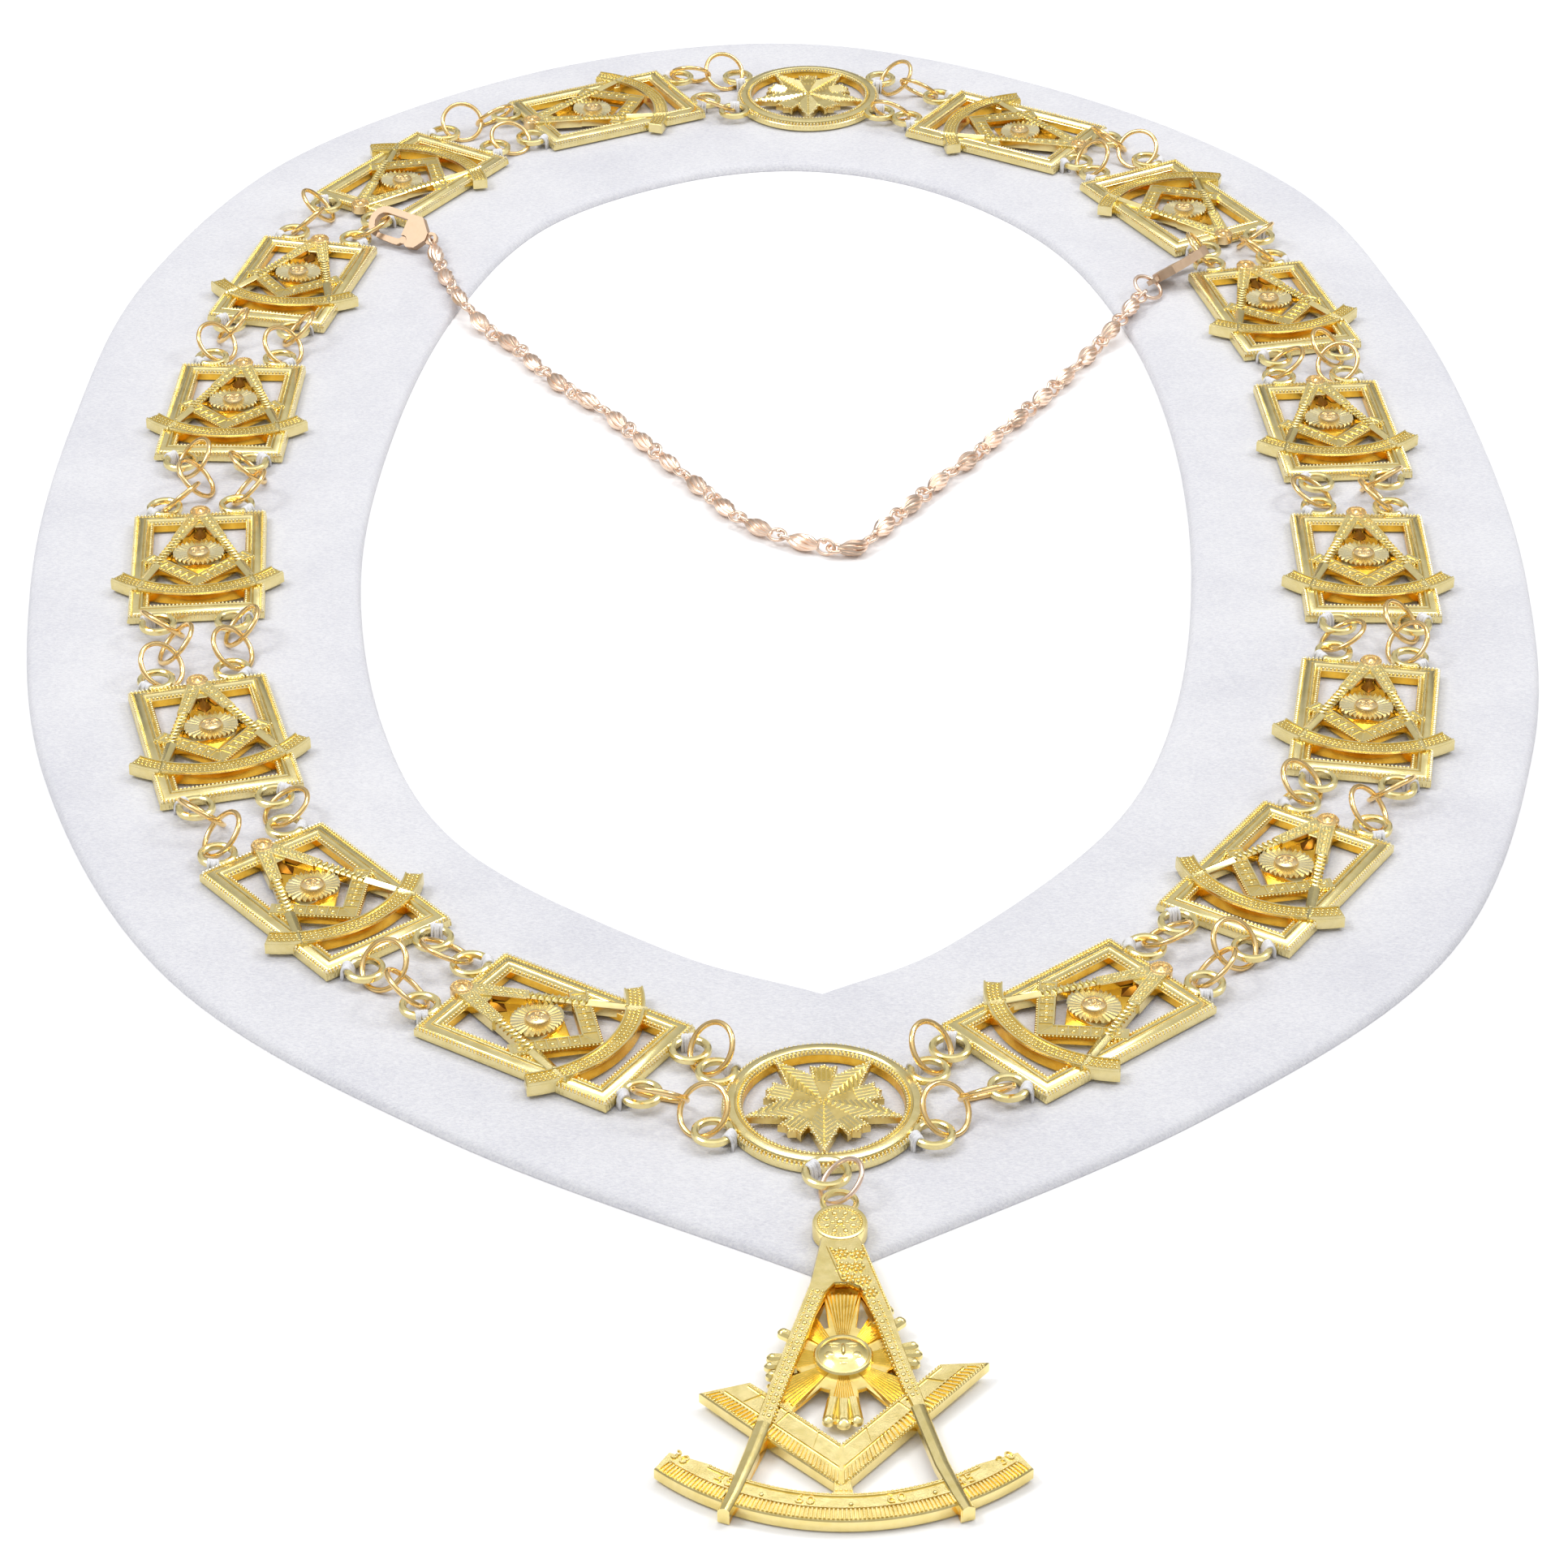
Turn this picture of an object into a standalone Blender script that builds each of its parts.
"""A lodge officer's chain collar, laid out flat as on a table.

Sixteen cast plaques and two pierced roundels are joined by jump rings into a loop over a white velvet
band. A square-and-compass jewel hangs from the front roundel, and a safety chain with a lobster clasp
at each end crosses the neck opening. Metres, +Z up, the origin under the middle of the whole outline.
"""

import math

import bmesh
import bpy
from mathutils import Matrix, Vector

# Cloth band
velvet_width = 0.100
velvet_thickness = 0.0024
pile_height = 0.0006

# Plaques
plaque_width = 0.040
plaque_length = 0.060
plaque_thickness = 0.003
bar_width = 0.006
relief_height = 0.0014
link_gap = 0.027

# Roundels
roundel_diameter = 0.0513
roundel_band = 0.0052

# Cast loops, and the jump rings that join them
loop_radius = 0.0046
loop_width = 0.0015
loop_height = 0.0012
loop_spacing = 0.022
loop_sides = 8
bail_radius = 0.0053
ring_radius = 0.0069
ring_wire = 0.0010
pendant_ring_radius = 0.0064
pendant_ring_wire = 0.0009

# Pendant jewel
pendant_length = 0.1025
pendant_width = 0.0870
pendant_thickness = 0.0034
pendant_head_radius = 0.0067
pendant_bail_radius = 0.0041
pendant_bail_reach = 0.0092
pendant_bail_width = 0.0011
pendant_drop = 0.0125

# Safety chain and its clasps
chain_diameter = 0.0050
chain_ring_radius = 0.0049
chain_ring_wire = 0.0013
# Share of the right clasp's steepness that the chain's end ring keeps
chain_ring_lean = 0.45
run_diameter = 0.0046
clasp_length = 0.0245
clasp_width = 0.0116
clasp_thickness = 0.0030
clasp_wall = 0.0022
clasp_eye_radius = 0.0023
clasp_eye_wall = 0.0010

# Space that touching pieces keep
clearance = 0.0003

pitch = plaque_length + link_gap
half_length = plaque_length / 2
plaque_floor = velvet_thickness + pile_height + clearance
plaque_top = plaque_floor + plaque_thickness
loop_top = plaque_top - 0.1 * loop_height
loop_middle = loop_top - loop_height / 2
loop_floor = loop_top - loop_height - plaque_floor
loop_hole = (loop_radius - loop_width / 2) * math.cos(math.pi / loop_sides)
loop_play = loop_hole - ring_wire / 2 - 3 * clearance
loop_flat = (loop_radius + loop_width / 2) * math.cos(math.pi / loop_sides) - clearance
loop_reach = half_length + loop_flat
cloth_rest = velvet_thickness + clearance
flat_tilt = math.radians(28)
run_tilt = math.radians(45)
steep_tilt = math.radians(50)

# Plaque centres in shares of the pitch from the middle of the collar, the turn of each plaque's
# width in degrees, whether its compass points at the front, and the cloth's reach to its outer and
# inner side in shares of the velvet's width.
stations = {
    "left": (
        # x, y, turn, reversed, outer, inner
        (-0.652, -2.544, 57.0, False, 0.476, 0.494),
        (-1.389, -1.861, 39.5, False, 0.493, 0.463),
        (-1.823, -0.949, 15.6, False, 0.485, 0.482),
        (-1.997, 0.170, 4.9, False, 0.505, 0.485),
        (-1.998, 1.288, -2.0, False, 0.510, 0.526),
        (-1.865, 2.331, -12.6, False, 0.517, 0.571),
        (-1.475, 3.262, 147.2, True, 0.497, 0.570),
        (-0.713, 3.921, 117.4, True, 0.481, 0.585),
    ),
    "right": (
        (0.898, -2.484, -49.8, False, 0.474, 0.498),
        (1.552, -1.739, -33.4, False, 0.526, 0.520),
        (1.923, -0.832, -9.4, False, 0.479, 0.543),
        (2.030, 0.162, -0.9, False, 0.489, 0.518),
        (2.016, 1.148, 4.4, False, 0.475, 0.498),
        (1.892, 2.106, 13.5, False, 0.467, 0.499),
        (1.583, 3.000, -150.6, True, 0.489, 0.499),
        (0.940, 3.709, -121.4, True, 0.465, 0.490),
    ),
}

# Roundel centres in shares of the pitch, the cloth's reach past them in shares of the velvet's
# width, and the directions in degrees of their cast loops, the inner lane's and the outer lane's.
front_roundel = {"x": 0.140, "y": -2.914, "outer": 0.633, "inner": 0.531,
                 "left": (154.0, -157.0), "right": (27.0, -25.0)}
back_roundel = {"x": 0.126, "y": 4.043, "outer": 0.547, "inner": 0.526,
                "left": (-153.0, 149.0), "right": (-31.0, 28.0)}
bail_turn = -89.0
pendant_turn = -76.0

# The emblem on a plaque, in shares of its width (across) and length (along) from its centre
plaque_emblem = {
    "head": (0.0, 0.488),
    "foot": (0.432, -0.242),
    "leg_widths": (0.115, 0.065),
    "square_apex": (0.0, -0.253),
    "square_tip": (0.425, 0.027),
    "square_width": 0.118,
    "arc_low": (0.0, -0.305),
    "arc_end": (0.595, -0.137),
    "arc_width": 0.125,
    "arc_steps": 4,
}

# The pendant's emblem, in shares of its width and length from the middle of its head
pendant_emblem = {
    "head": (0.0, 0.0),
    "foot": (0.318, -0.955),
    "leg_widths": (0.098, 0.048),
    "square_apex": (0.0, -0.862),
    "square_tip": (0.387, -0.500),
    "square_width": 0.112,
    "arc_low": (0.0, -0.955),
    "arc_end": (0.492, -0.790),
    "arc_width": 0.098,
    "arc_steps": 10,
}

pendant_neck = ((-0.025, -0.92), (0.025, -0.92), (0.025, -0.84), (-0.025, -0.84))

# A clasp's shape in shares of its length (from the middle of its eye) and of its width: its body
# from the neck to the back of the lever's seat, the lever's pivot, and its blade from that pivot
clasp_neck = ((0.06, 0.11), (0.06, -0.11), (0.22, -0.50))
clasp_shoulder = ((0.30, 0.48), (0.18, 0.43))
clasp_heel = 0.43
hook_end = 62.0
lever_pivot = (0.392, 0.31)
lever_root = 0.0013
lever_blade = ((0.037, -0.030), (0.102, 0.013), (0.412, 0.018), (0.412, 0.165), (0.147, 0.200),
               (0.065, 0.190), (0.008, 0.086))

# How each clasp lies: the run of rings that it holds, the place on that ring in degrees from the
# run's direction, the same place on the clasp in shares, and the clasp's turns in degrees
hooked_run = 7
clasp_lie = {
    "left": {"seat": 78.0, "hold": (0.76, -0.12), "turn": 150.0, "rise": 4.0, "roll": -48.0},
    "right": {"seat": 158.0, "hold": (0.84, -0.14), "turn": 42.0, "rise": 8.0, "roll": -38.0},
}

# Safety chain's route from the left clasp to its end ring, in shares of the pitch, and which
# points lie on the cloth
chain_route = (
    (-1.322, 2.520, "cloth"), (-1.268, 2.330, "cloth"), (-1.185, 2.120, "cloth"),
    (-1.090, 1.967, "table"), (-0.992, 1.852, "table"),
    (-0.866, 1.633, "table"), (-0.751, 1.472, "table"), (-0.641, 1.346, "table"),
    (-0.430, 1.010, "table"), (-0.221, 0.679, "table"), (-0.120, 0.530, "table"),
    (0.032, 0.403, "table"), (0.198, 0.329, "table"), (0.263, 0.331, "table"),
    (0.301, 0.352, "table"), (0.393, 0.507, "table"), (0.503, 0.679, "table"),
    (0.608, 0.852, "table"), (0.690, 0.960, "table"), (0.850, 1.225, "table"),
    (1.030, 1.525, "table"), (1.170, 1.780, "table"), (1.278, 1.960, "cloth"),
)


def unit(vector):
    return vector / vector.length


def turned(degrees):
    angle = math.radians(degrees)
    return Vector((math.cos(angle), math.sin(angle)))


def square_off(direction):
    """The plan direction a quarter turn to the left of the given one."""
    return Vector((-direction.y, direction.x))


def shade(name, colour, roughness, metallic):
    material = bpy.data.materials.new(name)
    material.use_nodes = True
    surface = material.node_tree.nodes["Principled BSDF"]
    surface.inputs["Base Color"].default_value = (*colour, 1)
    surface.inputs["Roughness"].default_value = roughness
    surface.inputs["Metallic"].default_value = metallic
    return material


def shape_object(mesh):
    """A working solid, which is used up by fuse or given its name by add_piece."""
    shape = bpy.data.objects.new("shape", mesh)
    working.objects.link(shape)
    shape.hide_render = True
    shape.display_type = "WIRE"
    return shape


def curve_solid(curve, height=0.0):
    """The closed mesh of a curve object, lifted to its height."""
    drawn = bpy.data.objects.new("drawn", curve)
    working.objects.link(drawn)
    graph = bpy.context.evaluated_depsgraph_get()
    mesh = bpy.data.meshes.new_from_object(drawn.evaluated_get(graph))
    bpy.data.objects.remove(drawn)
    bpy.data.curves.remove(curve)
    welded = bmesh.new()
    welded.from_mesh(mesh)
    bmesh.ops.remove_doubles(welded, verts=welded.verts, dist=clearance / 100)
    bmesh.ops.translate(welded, verts=welded.verts, vec=(0, 0, height))
    welded.to_mesh(mesh)
    welded.free()
    return shape_object(mesh)


def plate(outlines, bottom, top):
    """A flat plate: the first outline is its edge, and the others are openings."""
    curve = bpy.data.curves.new("plate", "CURVE")
    curve.dimensions = "2D"
    curve.fill_mode = "BOTH"
    curve.extrude = (top - bottom) / 2
    for outline in outlines:
        spline = curve.splines.new("POLY")
        spline.points.add(len(outline) - 1)
        spline.use_cyclic_u = True
        for point, corner in zip(spline.points, outline):
            point.co = (corner[0], corner[1], 0, 1)
    return curve_solid(curve, (bottom + top) / 2)


def tube(points, diameter):
    curve = bpy.data.curves.new("tube", "CURVE")
    curve.dimensions = "3D"
    curve.bevel_depth = diameter / 2
    curve.bevel_resolution = 2
    curve.use_fill_caps = True
    spline = curve.splines.new("POLY")
    spline.points.add(len(points) - 1)
    for point, place in zip(spline.points, points):
        point.co = (*place, 1)
    return curve_solid(curve)


def torus(radius, wire, matrix, steps=10):
    corners = 2 * radius / (1 + math.cos(math.pi / steps))
    bpy.ops.mesh.primitive_torus_add(
        major_segments=steps, minor_segments=5, major_radius=corners, minor_radius=wire / 2)
    made = bpy.context.object
    mesh = made.data
    bpy.data.objects.remove(made)
    mesh.transform(matrix)
    return shape_object(mesh)


def fuse(shapes):
    """One mesh from solids that run into each other."""
    body = shapes[0]
    for other in shapes[1:]:
        union = body.modifiers.new("union", "BOOLEAN")
        union.operation = "UNION"
        union.object = other
    graph = bpy.context.evaluated_depsgraph_get()
    mesh = bpy.data.meshes.new_from_object(body.evaluated_get(graph))
    for shape in shapes:
        bpy.data.objects.remove(shape)
    joined = bmesh.new()
    joined.from_mesh(mesh)
    bmesh.ops.remove_doubles(joined, verts=joined.verts, dist=clearance / 30)
    bmesh.ops.dissolve_limit(joined, angle_limit=math.radians(0.5), verts=joined.verts,
                             edges=joined.edges)
    joined.to_mesh(mesh)
    joined.free()
    return mesh


def add_piece(name, mesh, material, parent, location=(0, 0, 0), rotation=(0, 0, 0)):
    mesh.materials.clear()
    mesh.materials.append(material)
    mesh.shade_smooth()
    mesh.set_sharp_from_angle(angle=math.radians(30))
    piece = bpy.data.objects.new(name, mesh)
    collar.objects.link(piece)
    piece.parent = parent
    piece.location = location
    piece.rotation_euler = rotation
    return piece


def circle(centre, radius, steps, start=0.0):
    turns = [start + 360 * step / steps for step in range(steps)]
    return [Vector(centre) + radius * turned(turn) for turn in turns]


def arc(centre, radius, start, end, steps):
    turns = [start + (end - start) * step / steps for step in range(steps + 1)]
    return [Vector(centre) + radius * turned(turn) for turn in turns]


def band_sector(centre, radius, width, start, end, steps):
    """The outline of a bent strip: an arc out along its outer edge and back along its inner one."""
    outer = arc(centre, radius + width / 2, start, end, steps)
    inner = arc(centre, radius - width / 2, end, start, steps)
    return outer + inner


def rectangle(width, length):
    return [(-width / 2, -length / 2), (width / 2, -length / 2),
            (width / 2, length / 2), (-width / 2, length / 2)]


def washer(centre, radius, width, sides, start=0.0):
    """The edge and the opening of a flat ring."""
    edge = circle(centre, radius + width / 2, sides, start)
    return [edge, circle(centre, radius - width / 2, sides, start)]


def cast_loop(centre, out_turn, bottom):
    """A cast loop whose flat back runs into the edge behind it."""
    start = out_turn + 180 + 180 / loop_sides
    return plate(washer(centre, loop_radius, loop_width, loop_sides, start), bottom, bottom + loop_height)


def emblem_points(emblem, width, length):
    """The emblem's points at full size."""
    points = {}
    for name in ("head", "foot", "square_apex", "square_tip", "arc_low", "arc_end"):
        across, along = emblem[name]
        points[name] = Vector((across * width, along * length))
    return points


def mirrored(right_side):
    """A closed outline from the half that runs down the right, both ends on the middle line."""
    left_side = [(-x, y) for x, y in reversed(right_side) if abs(x) > clearance / 10]
    return list(right_side) + left_side


def leg_outline(emblem, width, length):
    """The two legs of the compass as one upturned V with flat feet."""
    points = emblem_points(emblem, width, length)
    head, foot = points["head"], points["foot"]
    along = unit(foot - head)
    out = square_off(along)
    top_half, foot_half = (share * width / 2 for share in emblem["leg_widths"])
    inner_top = head - out * top_half
    inner_foot = foot - out * foot_half
    crotch = inner_top + (inner_foot - inner_top) * (-inner_top.x / (inner_foot.x - inner_top.x))
    right_side = [(0, crotch.y), inner_foot, foot + out * foot_half, head + out * top_half]
    return mirrored(right_side)


def square_outline(emblem, width, length):
    """The builder's square as a V with its corner down and its ends cut upright."""
    points = emblem_points(emblem, width, length)
    apex, tip = points["square_apex"], points["square_tip"]
    slope = (tip - apex).y / (tip - apex).x
    rise = emblem["square_width"] * width * math.sqrt(1 + slope * slope)
    return mirrored([(0, apex.y), tip, (tip.x - rise / 2, tip.y + rise / 2), (0, apex.y + rise)])


def arc_outline(emblem, width, length):
    """The graduated arc as a bent strip through its low point and its ends."""
    points = emblem_points(emblem, width, length)
    low, end = points["arc_low"], points["arc_end"]
    rise = end.y - low.y
    radius = (end.x ** 2 + rise ** 2) / (2 * rise)
    middle = Vector((0, low.y + radius))
    half = math.degrees(math.asin(end.x / radius))
    strip = emblem["arc_width"] * width
    return band_sector(middle, radius, strip, -90 - half, -90 + half, emblem["arc_steps"])


def make_plaque():
    """One plaque, pierced, with the compass and square raised on its frame and four cast loops."""
    level = plaque_thickness
    relief = relief_height
    width, length = plaque_width, plaque_length
    opening = rectangle(width - 2 * bar_width, length - 2 * bar_width)
    sun = Vector((0, 0.088 * length))
    head = emblem_points(plaque_emblem, width, length)["head"]
    shapes = [
        plate([rectangle(width, length), opening], 0, level),
        plate([square_outline(plaque_emblem, width, length)], 0.4 * level, level + 0.4 * relief),
        plate([arc_outline(plaque_emblem, width, length)], 0.4 * level, level + 0.8 * relief),
        plate([leg_outline(plaque_emblem, width, length)], 0.4 * level, level + 0.8 * relief),
        plate([circle(sun, 0.18 * width, 8, 22.5)], 0.4 * level, level + 0.8 * relief),
        plate([circle(head, 0.08 * width, 6)], 0.3 * level, level + relief),
    ]
    for end in (-1, 1):
        for side in (-1, 1):
            centre = (side * loop_spacing / 2, end * loop_reach)
            shapes.append(cast_loop(centre, end * 90, loop_floor))
    return fuse(shapes)


def loop_places(station):
    """Where the plaque's loops are: front inner, front outer, back inner and back outer."""
    centre, turn, is_reversed, side = station
    across = turned(turn)
    along = square_off(across)
    inward = across if (side == "left") != is_reversed else -across
    front = along if is_reversed else -along
    middle = loop_spacing / 2
    return {
        "front": {"inner": centre + front * loop_reach + inward * middle,
                  "outer": centre + front * loop_reach - inward * middle},
        "back": {"inner": centre - front * loop_reach + inward * middle,
                 "outer": centre - front * loop_reach - inward * middle},
    }


def roundel_loops(roundel, side):
    """Where a roundel's two loops on one side are, the inner lane's and the outer lane's."""
    reach = roundel_diameter / 2 + loop_flat - clearance
    return [roundel_place(roundel) + reach * turned(turn) for turn in roundel[side]]


def make_bail(centre, radius, width):
    """A cast bail of loop height round a plan point."""
    return plate(washer(centre, radius, width, 12), plaque_floor + loop_floor,
                 plaque_floor + loop_floor + loop_height)


def roundel_bail():
    reach = roundel_diameter / 2 + 0.45 * bail_radius
    return roundel_place(front_roundel) + reach * turned(bail_turn)


def roundel_shapes(roundel):
    """A pierced roundel: a ring band, a ten-pointed star in it, and its cast loops."""
    outer = roundel_diameter / 2
    inner = outer - roundel_band
    centre = roundel_place(roundel)
    bottom = plaque_floor
    star = []
    for point in range(5):
        turn = -90 + 72 * point
        star += [(turn, inner + 0.3 * roundel_band), (turn + 20, 0.38 * outer),
                 (turn + 28, 0.58 * outer), (turn + 44, 0.58 * outer), (turn + 52, 0.38 * outer)]
    shapes = [
        plate([circle(centre, outer, 18), circle(centre, inner, 18)], bottom, plaque_top),
        plate([[centre + radius * turned(turn) for turn, radius in star]],
              bottom + 0.4 * plaque_thickness, plaque_top + 0.3 * relief_height),
    ]
    for side in stations:
        for turn, place in zip(roundel[side], roundel_loops(roundel, side)):
            shapes.append(cast_loop(place, turn, bottom + loop_floor))
    return shapes


def tilted_circle(middle, direction, height, tilt, lean, radius, wire, steps=10):
    """A ring round a plan point, tilted about its plan direction with its high side to the lean."""
    high = square_off(direction) * lean * math.cos(tilt)
    first = Vector((direction.x, direction.y, 0))
    second = Vector((high.x, high.y, math.sin(tilt)))
    matrix = Matrix((first, second, first.cross(second))).transposed().to_4x4()
    matrix.translation = (middle.x, middle.y, height)
    return torus(radius, wire, matrix, steps)


class RingFit:
    """How a tilted ring that rests on the cloth passes through a loop and meets the next ring."""

    def __init__(self, tilt, radius=ring_radius, wire=ring_wire, middle=loop_middle):
        self.radius = radius
        self.wire = wire
        self.tilt = tilt
        self.height = cloth_rest + wire / 2 + radius * math.sin(tilt)
        faces = (middle - loop_height / 2, middle + loop_height / 2)
        drops = [(face - self.height) / math.sin(tilt) for face in faces]
        self.crossing = sum(math.sqrt(max(radius ** 2 - drop ** 2, 0)) for drop in drops) / 2
        self.sideways = sum(drops) / 2 * math.cos(tilt)
        self.contact = radius - 0.4 * wire
        self.arm = math.hypot(self.crossing + self.contact, self.sideways)

    def ring(self, middle, direction, lean):
        return tilted_circle(middle, direction, self.height, self.tilt, lean, self.radius, self.wire)

    def ring_to(self, start, contact, lean):
        """The end ring that passes through the loop at start and meets the next ring at contact."""
        way = unit(contact - start)
        bend = math.atan2(-lean * self.sideways, self.crossing + self.contact)
        direction = Vector((way.x * math.cos(bend) + way.y * math.sin(bend),
                            way.y * math.cos(bend) - way.x * math.sin(bend)))
        return self.ring(contact - direction * self.contact, direction, lean)


def single_fit(distance, radius=ring_radius, wire=ring_wire, middle=loop_middle):
    """The fit of one ring that passes through the middles of loops at this distance."""
    lift = middle - cloth_rest - wire / 2
    reach = min(0.93 * distance / 2, 0.95 * radius)
    steepness = lift / (radius - math.sqrt(radius ** 2 - reach ** 2))
    tilt = math.asin(min(max(steepness, math.sin(flat_tilt)), math.sin(steep_tilt)))
    return RingFit(tilt, radius, wire, middle)


def single_place(fit, start, end, lean):
    """The plan middle and direction of one ring through both loops."""
    direction = unit(end - start)
    return (start + end) / 2 - square_off(direction) * lean * fit.sideways, direction


def ring_run(start, end, lean, splay):
    """As few linked rings as reach from one loop to the next, slack to the splay's side."""
    distance = (end - start).length
    way = unit(end - start)
    aside = square_off(way) * splay
    if distance <= 2 * (RingFit(flat_tilt).crossing + loop_play):
        fit = single_fit(distance)
        return [fit.ring(*single_place(fit, start, end, lean), lean)]
    fit = RingFit(run_tilt)
    middle_rings = max(math.ceil((distance - 2 * fit.arm - 2 * loop_play) / (2 * fit.contact)), 0)
    spans = distance - 2 * fit.contact * middle_rings
    shift = min(max(spans / 2 - 0.97 * fit.arm, -loop_play), loop_play)
    run = spans / 2 - shift
    bow = math.sqrt(max(fit.arm ** 2 - run ** 2, 0))
    first = start + way * shift
    last = end - way * shift
    contact = first + way * run + aside * bow
    rings = [fit.ring_to(first, contact, lean)]
    for _ in range(middle_rings):
        lean = -lean
        rings.append(fit.ring(contact + way * fit.contact, way, lean))
        contact = contact + way * 2 * fit.contact
    rings.append(fit.ring_to(last, contact, lean))
    return rings


def run_tube(start, end, end_gap):
    """The outer chain between two loops, as the round rope that its small rings fill."""
    way = unit(end - start)
    rim = loop_radius + loop_width / 2
    first = start + way * (rim + clearance)
    last = end - way * (rim + end_gap)
    height = cloth_rest + run_diameter / 2
    return tube([(first.x, first.y, height), (last.x, last.y, height)], run_diameter)


def smooth(points, steps):
    """Points along a smooth curve through the given ones, both ends included."""
    ends = [points[0] * 2 - points[1]] + list(points) + [points[-1] * 2 - points[-2]]
    path = []
    for before, start, end, after in zip(ends, ends[1:], ends[2:], ends[3:]):
        for step in range(steps):
            t = step / steps
            path.append(0.5 * (2 * start + (end - before) * t
                               + (2 * before - 5 * start + 4 * end - after) * t * t
                               + (3 * start - before - 3 * end + after) * t ** 3))
    return path + [Vector(points[-1])]


def station_list(side):
    rows = []
    for x, y, turn, is_reversed, _, _ in stations[side]:
        rows.append((Vector((x * pitch, y * pitch)), turn, is_reversed, side))
    return rows


def roundel_place(roundel):
    return Vector((roundel["x"] * pitch, roundel["y"] * pitch))


def band_edge(edge):
    """The outer or inner edge of the cloth, from the front tip round to it again."""
    sign = 1 if edge == "outer" else -1
    column = 4 if edge == "outer" else 5
    front = roundel_place(front_roundel)
    back = roundel_place(back_roundel)
    tip = front - Vector((0, sign * front_roundel[edge] * velvet_width))
    halves = {}
    for side, rows in stations.items():
        halves[side] = []
        for row, (centre, turn, is_reversed, _) in zip(rows, station_list(side)):
            outward = turned(turn) if (side == "right") != is_reversed else -turned(turn)
            halves[side].append(centre + outward * sign * row[column] * velvet_width)
    heel = back + Vector((0, sign * back_roundel[edge] * velvet_width))
    loop = [tip] + halves["right"] + [heel] + halves["left"][::-1] + [tip]
    return smooth(loop, 2)[:-1]


def make_velvet():
    return fuse([plate([band_edge("outer"), band_edge("inner")], 0, velvet_thickness)])


def pendant_bail():
    """The middle of the pendant's bail in plan."""
    return roundel_bail() + pendant_drop * turned(pendant_turn)


def pendant_pose():
    """The pendant's head in plan, the height of its underside there, and its fall towards its feet."""
    head = pendant_bail() - Vector((0, pendant_bail_reach))
    tip = roundel_place(front_roundel).y - front_roundel["outer"] * velvet_width
    foot_run = pendant_length - (head.y - tip)
    fall = math.atan2(cloth_rest, foot_run)
    return head, cloth_rest + (head.y - tip) * math.tan(fall), fall


def make_pendant():
    """The jewel, from the middle of its head: bail, head, legs, square, arc and sun."""
    width, length, level = pendant_width, pendant_length, pendant_thickness
    relief = relief_height
    sun = Vector((0, -0.432 * length))
    rays = []
    for ray in range(8):
        turn = -90 + 45 * ray
        reach = (0.205 if ray % 4 == 0 else 0.235) * length
        rays += [(turn - 9, reach), (turn + 9, reach), (turn + 22.5, 0.115 * length)]
    ray_outline = [sun + radius * turned(turn) for turn, radius in rays]
    neck = [(across * width, along * length) for across, along in pendant_neck]
    bail = (0, pendant_bail_reach)
    shapes = [
        plate([leg_outline(pendant_emblem, width, length)], 0, level + 0.5 * relief),
        plate([square_outline(pendant_emblem, width, length)], 0.10 * level, level),
        plate([arc_outline(pendant_emblem, width, length)], 0.14 * level, level + 0.25 * relief),
        plate([neck], 0.2 * level, 0.9 * level),
        plate([ray_outline], 0.3 * level, 0.8 * level),
        plate([circle(sun, 0.0614 * length, 12)], 0.25 * level, level + relief),
        plate([circle((0, 0), pendant_head_radius, 16)], 0.05 * level, level + relief),
        plate(washer(bail, pendant_bail_radius, pendant_bail_width, 12), 0.5 * level, 0.9 * level),
    ]
    return fuse(shapes)


def make_pendant_ring(height):
    """The ring that joins the front roundel's bail to the pendant's."""
    start, end = roundel_bail(), pendant_bail()
    fit = single_fit((end - start).length, pendant_ring_radius, pendant_ring_wire, height)
    return fuse([fit.ring(*single_place(fit, start, end, 1), 1)])


def clasp_point(shares):
    return Vector((shares[0] * clasp_length, shares[1] * clasp_width))


def make_clasp():
    """A lobster clasp from the middle of its eye: a hook whose mouth is closed by its lever."""
    half = clasp_width / 2
    inside = half - clasp_wall
    bowl = (clasp_length - half, 0)
    hook = arc(bowl, half, -90, hook_end, 6) + arc(bowl, inside, hook_end, -90, 5)
    heel = Vector((clasp_heel * clasp_length, -inside))
    recess = arc(clasp_point(lever_pivot), lever_root + clearance, -50, -230, 5)
    shoulder = [clasp_point(shares) for shares in clasp_shoulder]
    neck = [clasp_point(shares) for shares in clasp_neck]
    thin = clasp_eye_wall / 2
    return fuse([
        plate([neck + hook + [heel] + recess + shoulder], -clasp_thickness / 2, clasp_thickness / 2),
        plate(washer((0, 0), clasp_eye_radius - thin, clasp_eye_wall, 10), -1.6 * thin, 1.6 * thin),
    ])


def make_lever():
    """The clasp's lever from its pivot, lying along the mouth to the tip of the hook."""
    blade = [clasp_point(shares) for shares in lever_blade]
    thin = 0.32 * clasp_thickness
    root = circle((0, 0), lever_root, 10)
    return fuse([plate([blade], -thin, thin), plate([root], -1.05 * thin, 1.05 * thin)])


def hooked_ring(side):
    """The middle, run direction and lean of the ring that a clasp holds, and its fit."""
    rows = [loop_places(station) for station in station_list(side)]
    start = rows[hooked_run - 2]["back"]["inner"]
    end = rows[hooked_run - 1]["front"]["inner"]
    lean = -1 if side == "left" else 1
    fit = single_fit((end - start).length)
    middle, direction = single_place(fit, start, end, lean)
    return fit, middle, direction, lean


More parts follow.
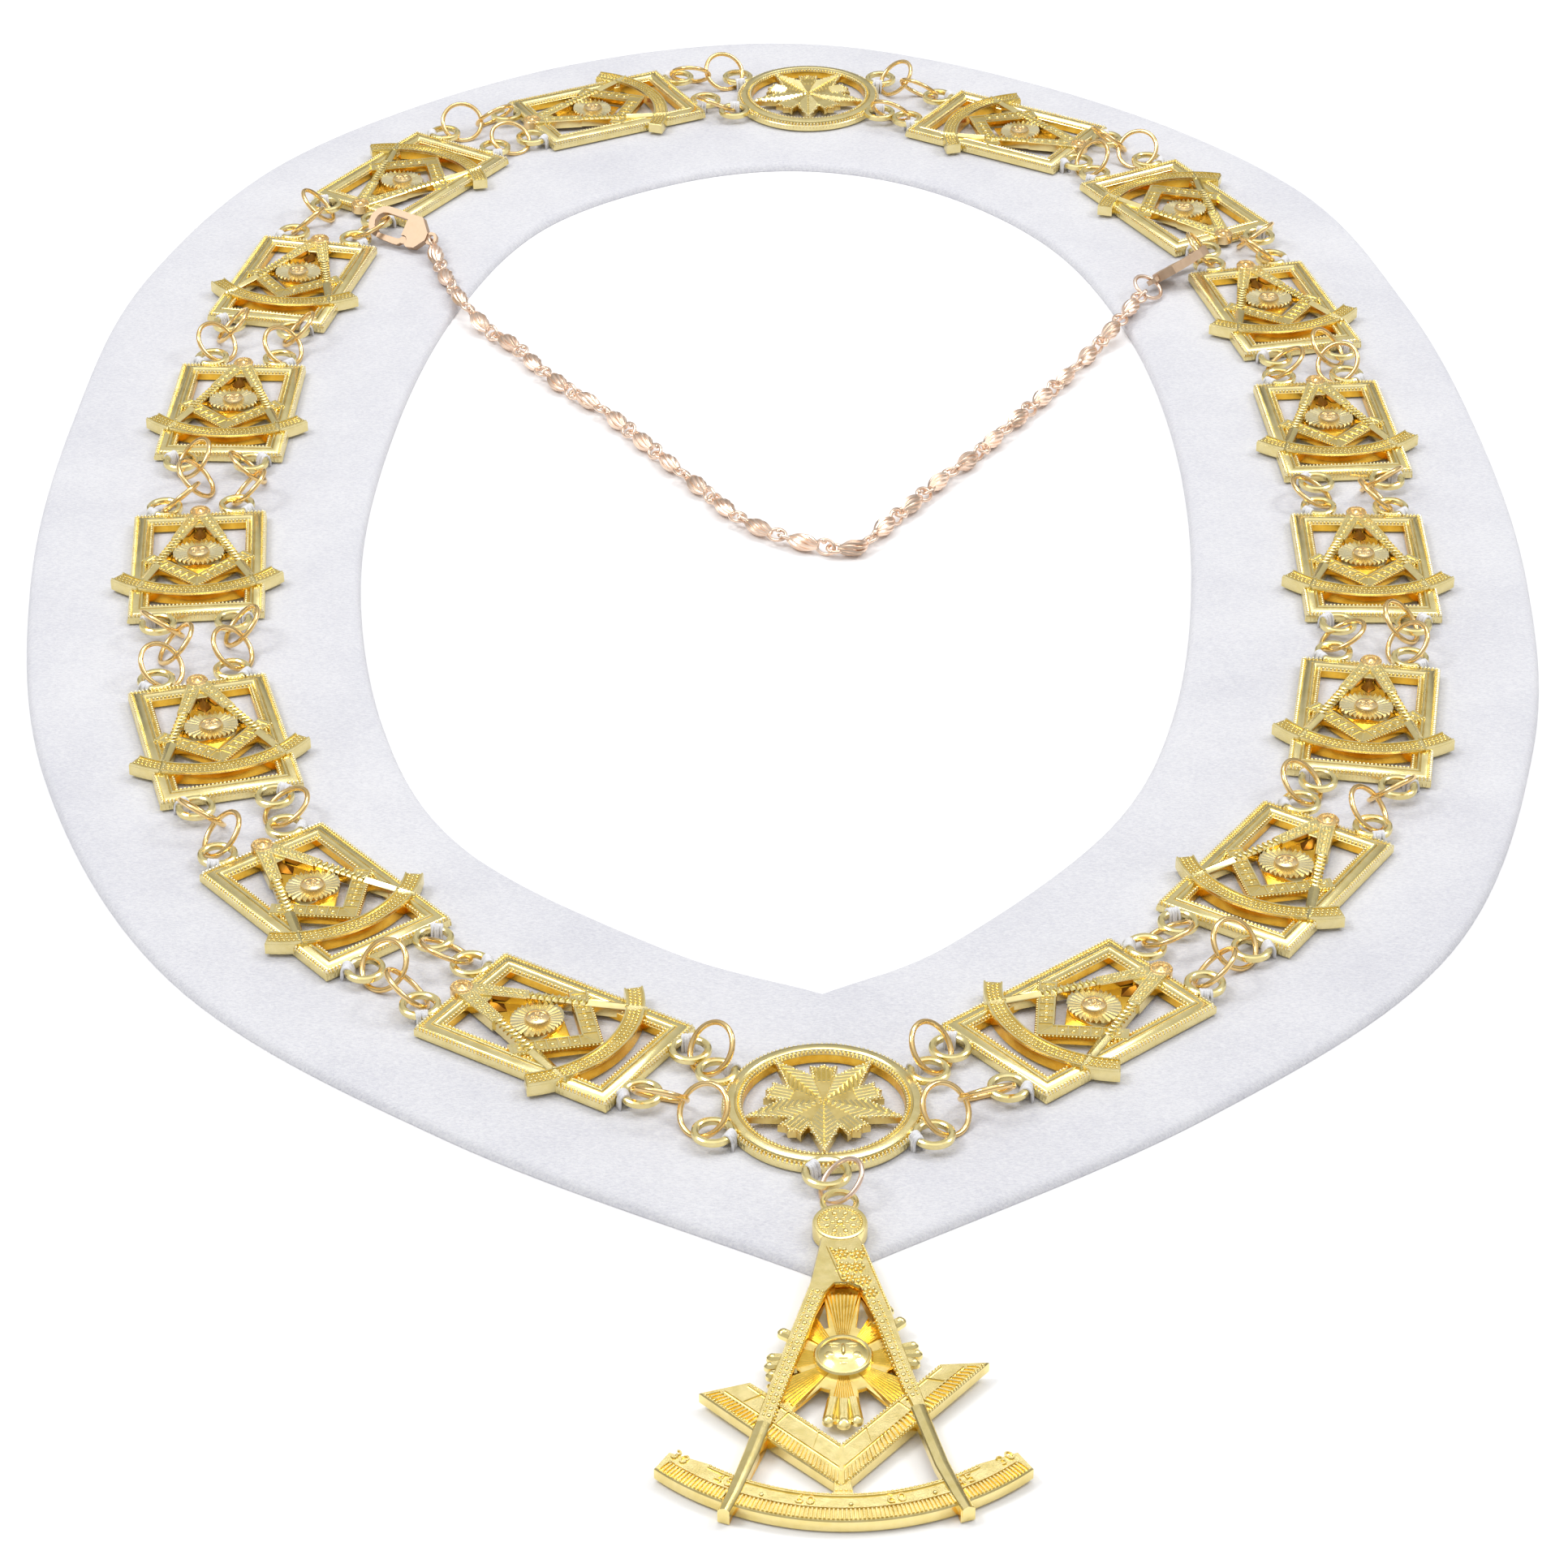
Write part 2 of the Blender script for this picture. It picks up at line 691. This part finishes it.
def clasp_frame(side):
    """The clasp's own axes and the place of its eye, with its hook's seat on the ring's wire."""
    fit, middle, direction, lean = hooked_ring(side)
    lie = clasp_lie[side]
    high = square_off(direction) * lean * math.cos(fit.tilt)
    along = math.radians(lie["seat"])
    seat = Vector((middle.x, middle.y, fit.height)) + fit.radius * (
        Vector((direction.x, direction.y, 0)) * math.cos(along)
        + Vector((high.x, high.y, math.sin(fit.tilt))) * math.sin(along))
    turn = Matrix.Rotation(math.radians(lie["turn"]), 4, "Z")
    rise = Matrix.Rotation(math.radians(-lie["rise"]), 4, "Y")
    roll = Matrix.Rotation(math.radians(lie["roll"]), 4, "X")
    lay = turn @ rise @ roll
    held = clasp_point(lie["hold"])
    return Matrix.Translation(seat - lay.to_3x3() @ Vector((held.x, held.y, 0))) @ lay


def chain_end(frame, last):
    """The chain's end ring through the right clasp's eye, as its turn and middle."""
    eye = frame.translation
    along = unit(last - eye)
    across = frame.to_3x3() @ Vector((0, 0, 1))
    across.z *= chain_ring_lean
    across = unit(across - along * across.dot(along))
    matrix = Matrix((along, across, along.cross(across))).transposed().to_4x4()
    matrix.translation = eye + along * chain_ring_radius
    return matrix


def make_chain(frames):
    """The safety chain as a round rope from the left clasp, with its end ring in the right one."""
    cloth = cloth_rest + chain_diameter / 2
    table = clearance + chain_diameter / 2
    route = []
    for x, y, lies_on in chain_route:
        route.append(Vector((x * pitch, y * pitch, cloth if lies_on == "cloth" else table)))
    eye = frames["left"].translation
    start = eye + unit(route[0] - eye) * (clasp_eye_radius + clearance)
    end_ring = chain_end(frames["right"], route[-1])
    along = unit(route[-1] - end_ring.translation)
    end = end_ring.translation + along * (chain_ring_radius - 0.5 * chain_ring_wire)
    rope = tube(smooth([start] + route + [end], 1), chain_diameter)
    return fuse([rope, torus(chain_ring_radius, chain_ring_wire, end_ring, 12)])


def build():
    gilt = shade("gilt", (0.72, 0.55, 0.16), 0.25, 1.0)
    rose_gilt = shade("rose_gilt", (0.86, 0.58, 0.26), 0.20, 1.0)
    velvet = shade("velvet", (0.82, 0.82, 0.86), 0.90, 0.0)

    root = bpy.data.objects.new("collar_origin", None)
    collar.objects.link(root)

    add_piece("velvet_backing", make_velvet(), velvet, root)

    plaque = make_plaque()
    for side in stations:
        for number, (centre, turn, _, _) in enumerate(station_list(side), 1):
            add_piece(f"plaque_{side}_{number}", plaque, gilt, root,
                      (centre.x, centre.y, plaque_floor), (0, 0, math.radians(turn)))

    bail_rim = make_bail(roundel_bail(), bail_radius, loop_width)
    add_piece("front_roundel", fuse(roundel_shapes(front_roundel) + [bail_rim]), gilt, root)

    back_shapes = roundel_shapes(back_roundel)
    for side in stations:
        rows = [loop_places(station) for station in station_list(side)]
        hand = 1 if side == "left" else -1
        for row, lane in enumerate(("inner", "outer")):
            ends = [roundel_loops(front_roundel, side)[row]]
            for places in rows:
                ends += [places["front"][lane], places["back"][lane]]
            ends.append(roundel_loops(back_roundel, side)[row])
            for number in range(1, len(rows) + 2):
                start, end = ends[2 * number - 2], ends[2 * number - 1]
                lean = hand if number % 2 == 0 else -hand
                if lane == "inner":
                    run = fuse(ring_run(start, end, lean, -hand))
                    add_piece(f"links_{side}_inner_{number}", run, rose_gilt, root)
                elif number <= len(rows):
                    run = fuse([run_tube(start, end, clearance)])
                    add_piece(f"links_{side}_outer_{number}", run, rose_gilt, root)
                else:
                    back_shapes.append(run_tube(start, end, -loop_width))
    add_piece("back_roundel", fuse(back_shapes), gilt, root)

    head, height, fall = pendant_pose()
    add_piece("pendant_jewel", make_pendant(), gilt, root, (head.x, head.y, height), (fall, 0, 0))
    bail_height = height + 0.7 * pendant_thickness
    ring = make_pendant_ring((bail_height + loop_middle) / 2)
    add_piece("pendant_ring", ring, rose_gilt, root)

    frames = {side: clasp_frame(side) for side in stations}
    add_piece("safety_chain", make_chain(frames), rose_gilt, root)
    clasp, lever = make_clasp(), make_lever()
    for side, frame in frames.items():
        place, lay = frame.translation, frame.to_euler()
        add_piece(f"clasp_{side}", clasp, rose_gilt, root, place, lay)
        pivot = clasp_point(lever_pivot)
        hub = frame @ Vector((pivot.x, pivot.y, 0))
        add_piece(f"clasp_lever_{side}", lever, rose_gilt, root, hub, lay)

    bpy.context.view_layer.update()
    corners = [piece.matrix_world @ Vector(corner) for piece in collar.objects
               for corner in piece.bound_box if piece.type == "MESH"]
    root.location.x = -(min(c.x for c in corners) + max(c.x for c in corners)) / 2
    root.location.y = -(min(c.y for c in corners) + max(c.y for c in corners)) / 2


def clear_scene():
    for leftover in list(bpy.data.objects):
        bpy.data.objects.remove(leftover)


clear_scene()
collar = bpy.data.collections.new("chain_collar")
working = bpy.data.collections.new("cutters")
bpy.context.scene.collection.children.link(collar)
bpy.context.scene.collection.children.link(working)
build()
